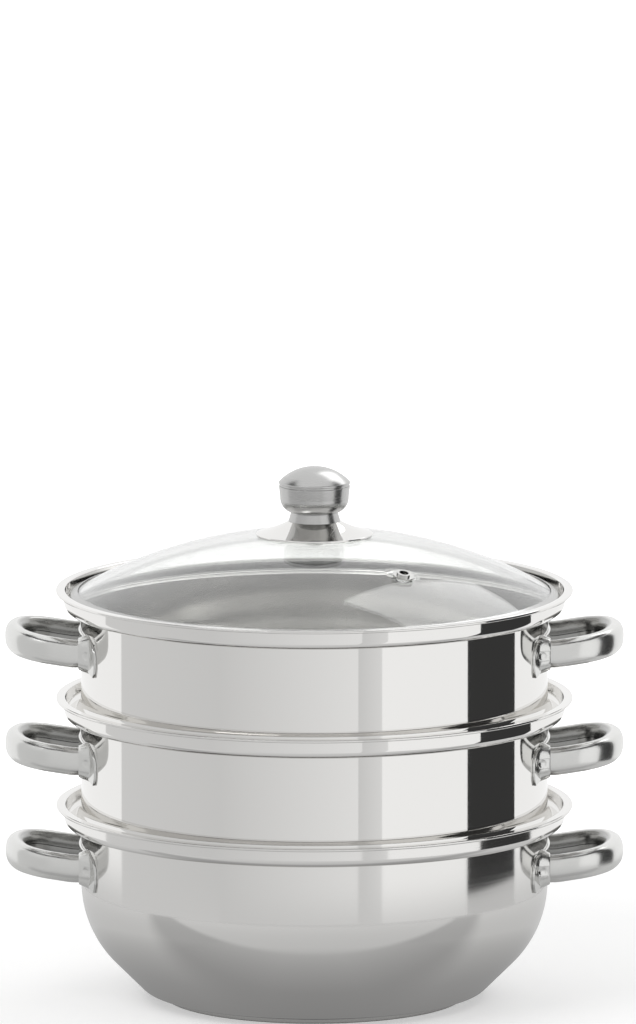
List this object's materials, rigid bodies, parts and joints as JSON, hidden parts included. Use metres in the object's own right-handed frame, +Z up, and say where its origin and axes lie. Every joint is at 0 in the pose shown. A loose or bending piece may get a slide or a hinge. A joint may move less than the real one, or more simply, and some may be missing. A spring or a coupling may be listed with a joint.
{
  "type": "steamer pot",
  "caption": "Stacked stainless steel steamer: rounded pot, perforated lift-off tiers with bow handles, and a domed glass lid with steel band, vent and knob.",
  "frame": {"origin": "middle of the underside of the pot's base, on the surface that it stands on", "axes": "+Z up along the stack; +X through the middle of the right-hand grips; +Y to the back, away from the picture's viewer"},
  "size_m": [0.347, 0.29, 0.3011],
  "materials": {
    "pot_steel": "soft polish",
    "tier_steel": "mirror polish outside, satin inside",
    "base_steel": "satin",
    "base_aluminium": "plain",
    "grip_steel": "satin",
    "bracket_steel": "mirror polish",
    "glass": "clear tempered",
    "band_steel": "satin",
    "seal_silicone": "translucent silicone",
    "fastener_steel": "bright",
    "plate_steel": "mirror polish",
    "knob_steel": "satin"
  },
  "bodies": {
    "pot": {"pot_body": "pot_steel", "pot_base_cap": "base_steel", "pot_base_core": "base_aluminium", "pot_grip_right": "grip_steel", "pot_grip_left": "grip_steel", "pot_bracket_right": "bracket_steel", "pot_bracket_left": "bracket_steel"},
    "lower_tier": {"lower_tier_body": "tier_steel", "lower_tier_grip_right": "grip_steel", "lower_tier_grip_left": "grip_steel", "lower_tier_bracket_right": "bracket_steel", "lower_tier_bracket_left": "bracket_steel"},
    "upper_tier": {"upper_tier_body": "tier_steel", "upper_tier_grip_right": "grip_steel", "upper_tier_grip_left": "grip_steel", "upper_tier_bracket_right": "bracket_steel", "upper_tier_bracket_left": "bracket_steel"},
    "lid": {"lid_glass": "glass", "lid_band": "band_steel", "lid_vent": "fastener_steel", "knob_plate": "plate_steel", "knob_neck": "knob_steel", "knob_body": "knob_steel", "knob_cap": "knob_steel", "knob_seal": "seal_silicone", "knob_washer": "fastener_steel", "knob_screw": "fastener_steel"}
  },
  "joints": [
    {"name": "lower_tier_lift", "type": "slide", "parent": "pot", "child": "lower_tier", "axis": [0, 0, 1], "range_m": [0, 0.059]},
    {"name": "upper_tier_lift", "type": "slide", "parent": "lower_tier", "child": "upper_tier", "axis": [0, 0, 1], "range_m": [0, 0.077]},
    {"name": "lid_lift", "type": "slide", "parent": "upper_tier", "child": "lid", "axis": [0, 0, 1], "range_m": [0, 0.115]}
  ]
}
